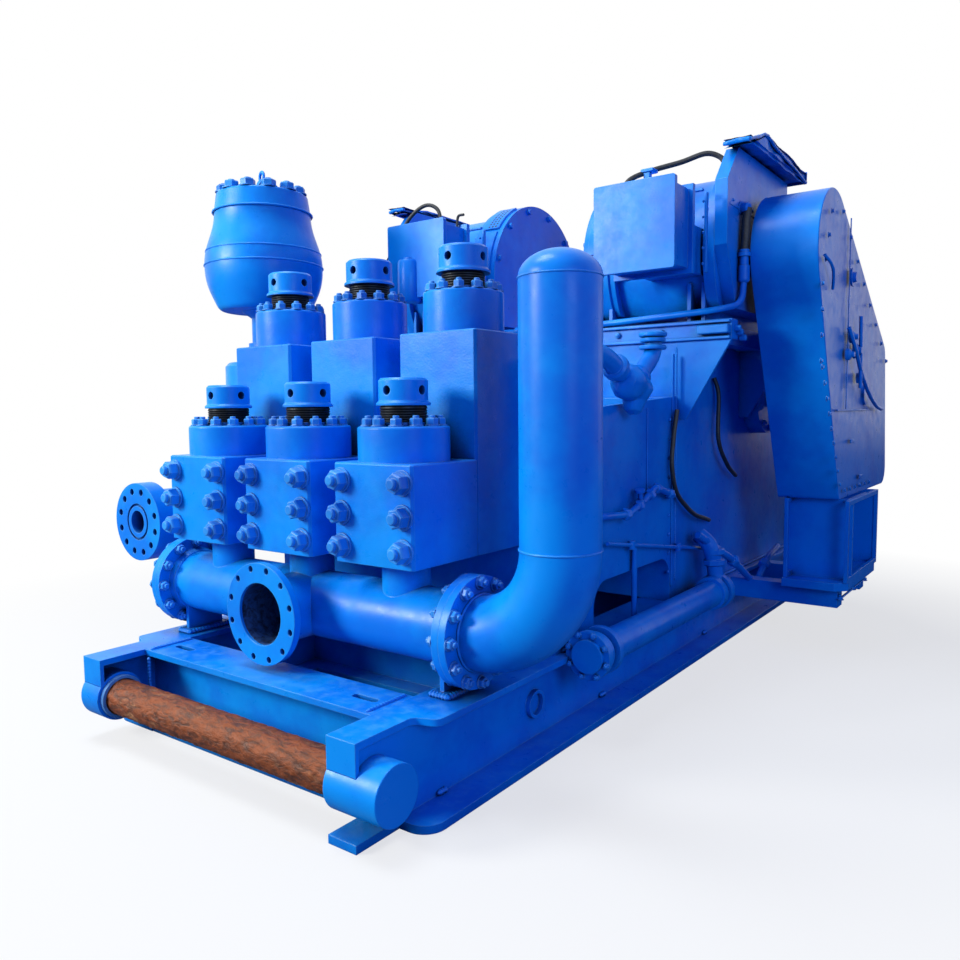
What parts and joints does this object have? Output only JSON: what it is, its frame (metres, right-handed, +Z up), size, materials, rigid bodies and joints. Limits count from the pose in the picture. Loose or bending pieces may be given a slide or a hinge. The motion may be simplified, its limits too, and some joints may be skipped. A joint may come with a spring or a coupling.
{
  "type": "triplex mud pump",
  "caption": "Skid-mounted triplex mud pump with a two-tier forged fluid end, suction manifold and standpipe, pulsation dampener, and roof motors driving through belt guards.",
  "frame": {"origin": "floor level, at the middle of the footprint: midway between the skid beams and midway from the roller sleeves' front to the beams' rear ends", "axes": "+X to the right seen from the fluid end, +Y to the back from the fluid end to the power end, +Z up"},
  "size_m": [3.122, 4.718, 2.79],
  "materials": {
    "blue_enamel": "gloss",
    "rusty_steel": "rough",
    "bright_steel": "satin"
  },
  "bodies": {
    "root": {"air_duct_left": "blue_enamel", "air_duct_right": "blue_enamel", "bearing_covers": "blue_enamel", "belt_guard_left": "blue_enamel", "belt_guard_right": "blue_enamel", "crankcase": "blue_enamel", "crosshead_frame": "blue_enamel", "cylinder_liners": "bright_steel", "dampener_body": "blue_enamel", "dampener_lid": "blue_enamel", "dampener_neck": "blue_enamel", "discharge_cross": "blue_enamel", "discharge_module_left": "blue_enamel", "discharge_module_middle": "blue_enamel", "discharge_module_right": "blue_enamel", "discharge_valve_cover_left": "blue_enamel", "discharge_valve_cover_middle": "blue_enamel", "discharge_valve_cover_right": "blue_enamel", "drain_pipe": "blue_enamel", "drive_shafts": "bright_steel", "guard_stands": "blue_enamel", "manifold_saddles": "blue_enamel", "motor_base": "blue_enamel", "motor_left": "blue_enamel", "motor_right": "blue_enamel", "pull_roller": "rusty_steel", "rain_hoods": "blue_enamel", "rear_hatch": "blue_enamel", "roller_sleeve_left": "blue_enamel", "roller_sleeve_right": "blue_enamel", "skid_beam_left": "blue_enamel", "skid_beam_right": "blue_enamel", "skid_front_crossmember": "blue_enamel", "skid_rear_crossmembers": "blue_enamel", "suction_blind_flange": "blue_enamel", "suction_manifold": "blue_enamel", "suction_module_left": "blue_enamel", "suction_module_middle": "blue_enamel", "suction_module_right": "blue_enamel", "suction_stabilizer": "blue_enamel", "suction_valve_cover_left": "blue_enamel", "suction_valve_cover_middle": "blue_enamel", "suction_valve_cover_right": "blue_enamel", "terminal_box_left": "blue_enamel", "terminal_box_right": "blue_enamel"}
  },
  "joints": []
}
